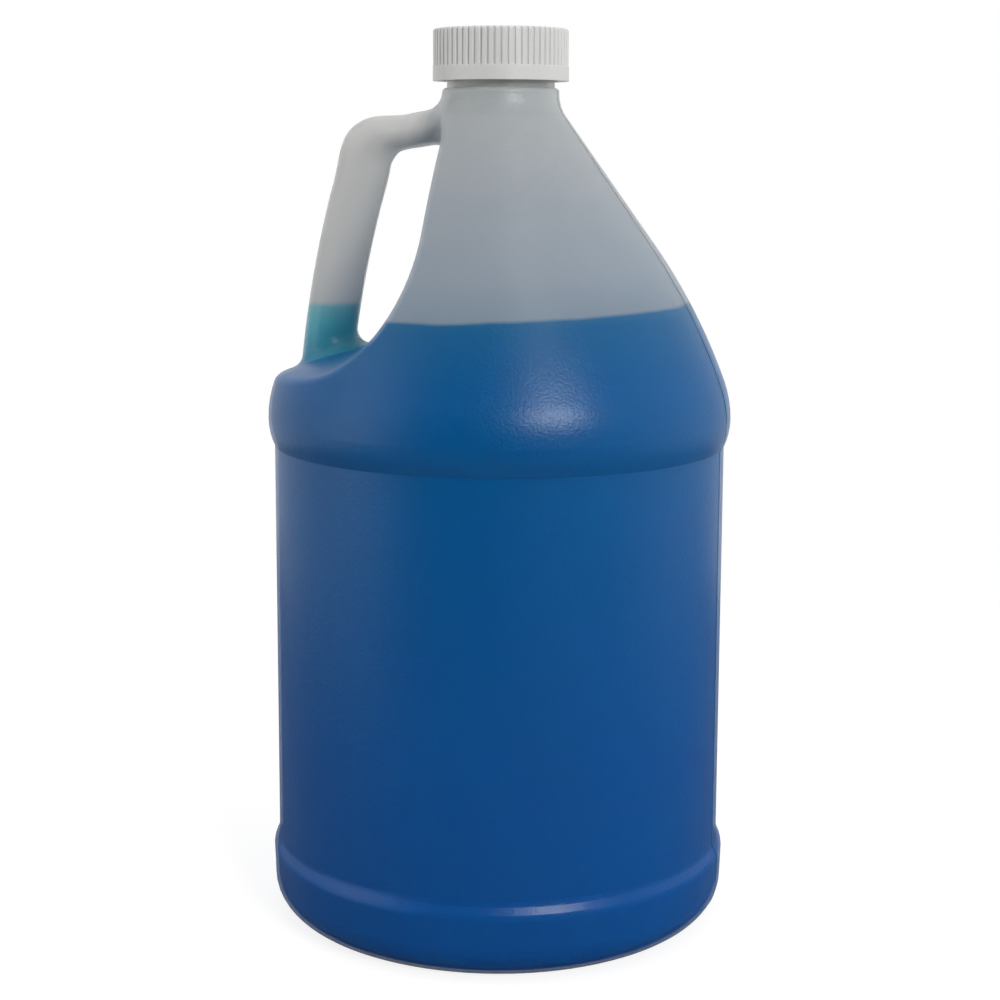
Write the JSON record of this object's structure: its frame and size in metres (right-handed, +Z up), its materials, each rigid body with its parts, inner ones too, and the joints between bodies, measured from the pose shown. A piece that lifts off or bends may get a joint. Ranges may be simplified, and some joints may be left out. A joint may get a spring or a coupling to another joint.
{
  "type": "plastic gallon jug",
  "caption": "Round translucent plastic jug with a hollow side handle, a ribbed white screw cap and a blue liquid fill, for storing and pouring household liquids.",
  "frame": {"origin": "on the jug's axis, on the plane that its standing ring rests on", "axes": "+Z up along the jug's axis; the handle lies in the XZ parting plane on the -X side"},
  "size_m": [0.158, 0.158, 0.3024],
  "materials": {
    "natural_hdpe": "natural milky translucent, fine orange peel",
    "blue_liquid": "clear dyed liquid",
    "white_pp": "satin",
    "white_foam": "fine closed-cell foam"
  },
  "bodies": {
    "jug": {"jug_shell": "natural_hdpe", "liquid": "blue_liquid"},
    "liner": {"cap_liner": "white_foam"},
    "cap": {"screw_cap": "white_pp"}
  },
  "joints": [
    {"name": "cap_lift", "type": "slide", "parent": "jug", "child": "liner", "axis": [0, 0, 1], "range_m": [0, 0.01693]},
    {"name": "cap_turn", "type": "hinge", "parent": "liner", "child": "cap", "pos_m": [0, 0, 0.3], "axis": [0, 0, 1], "range_deg": [0, 1440]}
  ],
  "couplings": [
    {"joint": "cap_lift", "follows": "cap_turn", "m_per_rad": 0.00067375}
  ]
}
